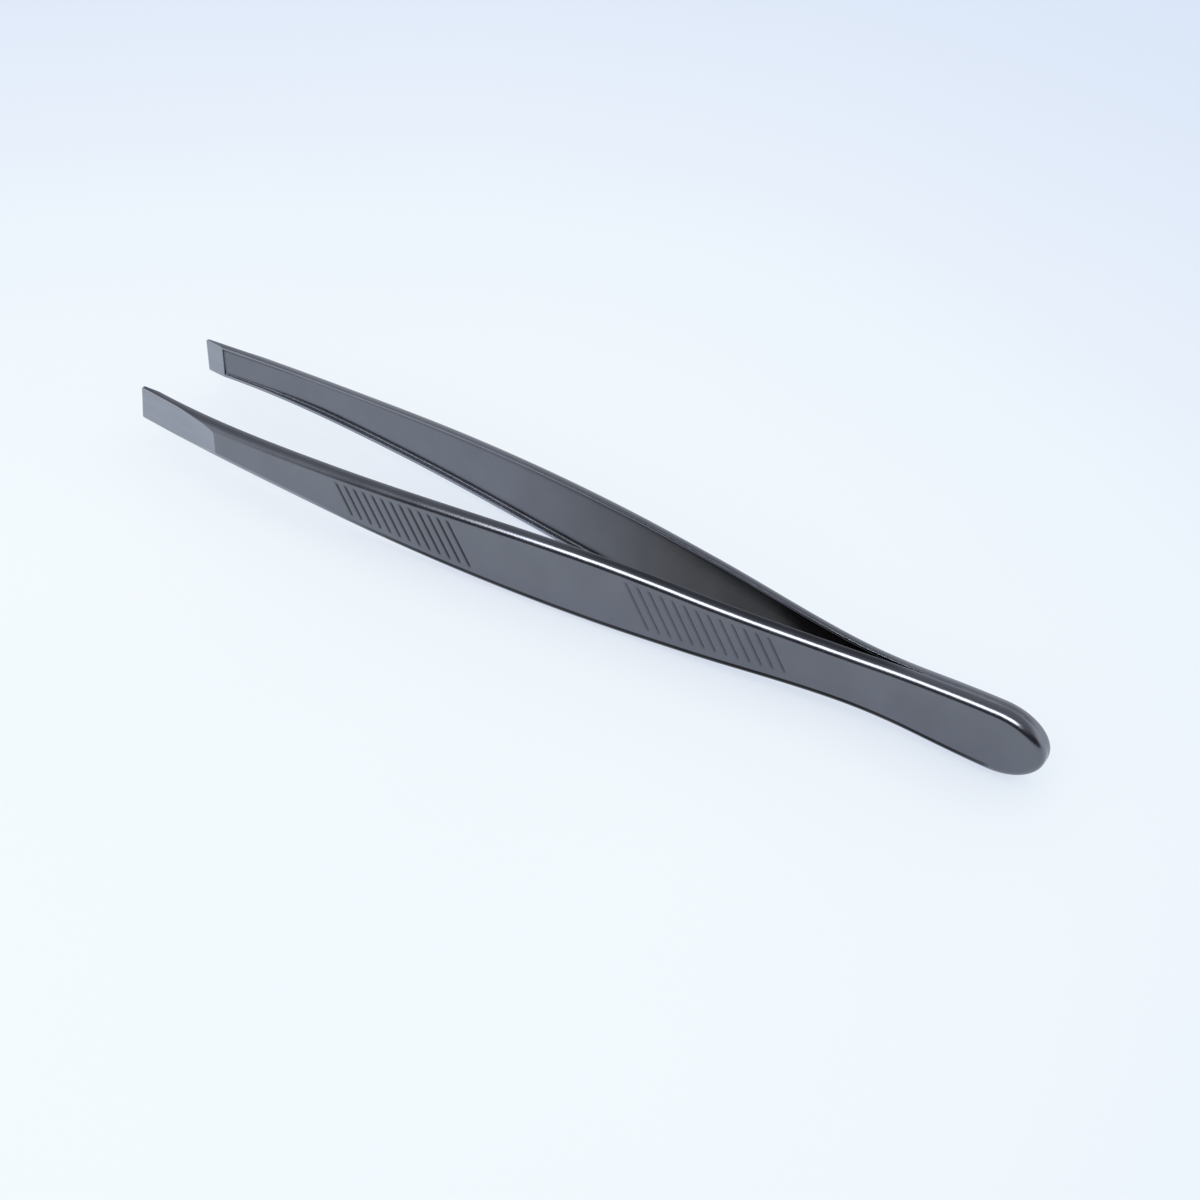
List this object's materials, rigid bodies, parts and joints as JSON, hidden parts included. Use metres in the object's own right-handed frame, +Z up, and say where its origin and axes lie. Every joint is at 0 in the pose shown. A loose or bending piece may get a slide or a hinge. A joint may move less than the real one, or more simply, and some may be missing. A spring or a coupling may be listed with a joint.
{
  "type": "tweezers",
  "caption": "Flat-tip spring tweezers: two stamped channel-section steel arms joined at a rounded butt, with pressed grip grooves and ground tips.",
  "frame": {"origin": "on the surface the tweezers lie on, under the middle of their length and of their opening", "axes": "+X along the length towards the butt, tips at -X; Y is the opening direction, front arm at -Y; +Z up across the width of the arms, which stand on their long edges"},
  "size_m": [0.095, 0.0128, 0.0077],
  "materials": {
    "satin_steel": "satin, tumbled stainless steel, ground at the tips",
    "weld_metal": "weld ground flush with the rims and polished"
  },
  "bodies": {
    "butt": {"front_butt_shell": "satin_steel", "rear_butt_shell": "satin_steel", "weld_seam": "weld_metal"},
    "front_arm": {"front_shoulder": "satin_steel", "front_grip": "satin_steel", "front_tip": "satin_steel"},
    "rear_arm": {"rear_shoulder": "satin_steel", "rear_grip": "satin_steel", "rear_tip": "satin_steel"}
  },
  "joints": [
    {"name": "front_arm_flex", "type": "hinge", "parent": "butt", "child": "front_arm", "pos_m": [0.0325, -0.00013, 0.00383], "axis": [0, 0, -1], "range_deg": [0, 3.41], "stiffness_Nm_per_rad": 1.1},
    {"name": "rear_arm_flex", "type": "hinge", "parent": "butt", "child": "rear_arm", "pos_m": [0.0325, 0.00013, 0.00383], "axis": [0, 0, 1], "range_deg": [0, 3.41], "stiffness_Nm_per_rad": 1.1}
  ]
}
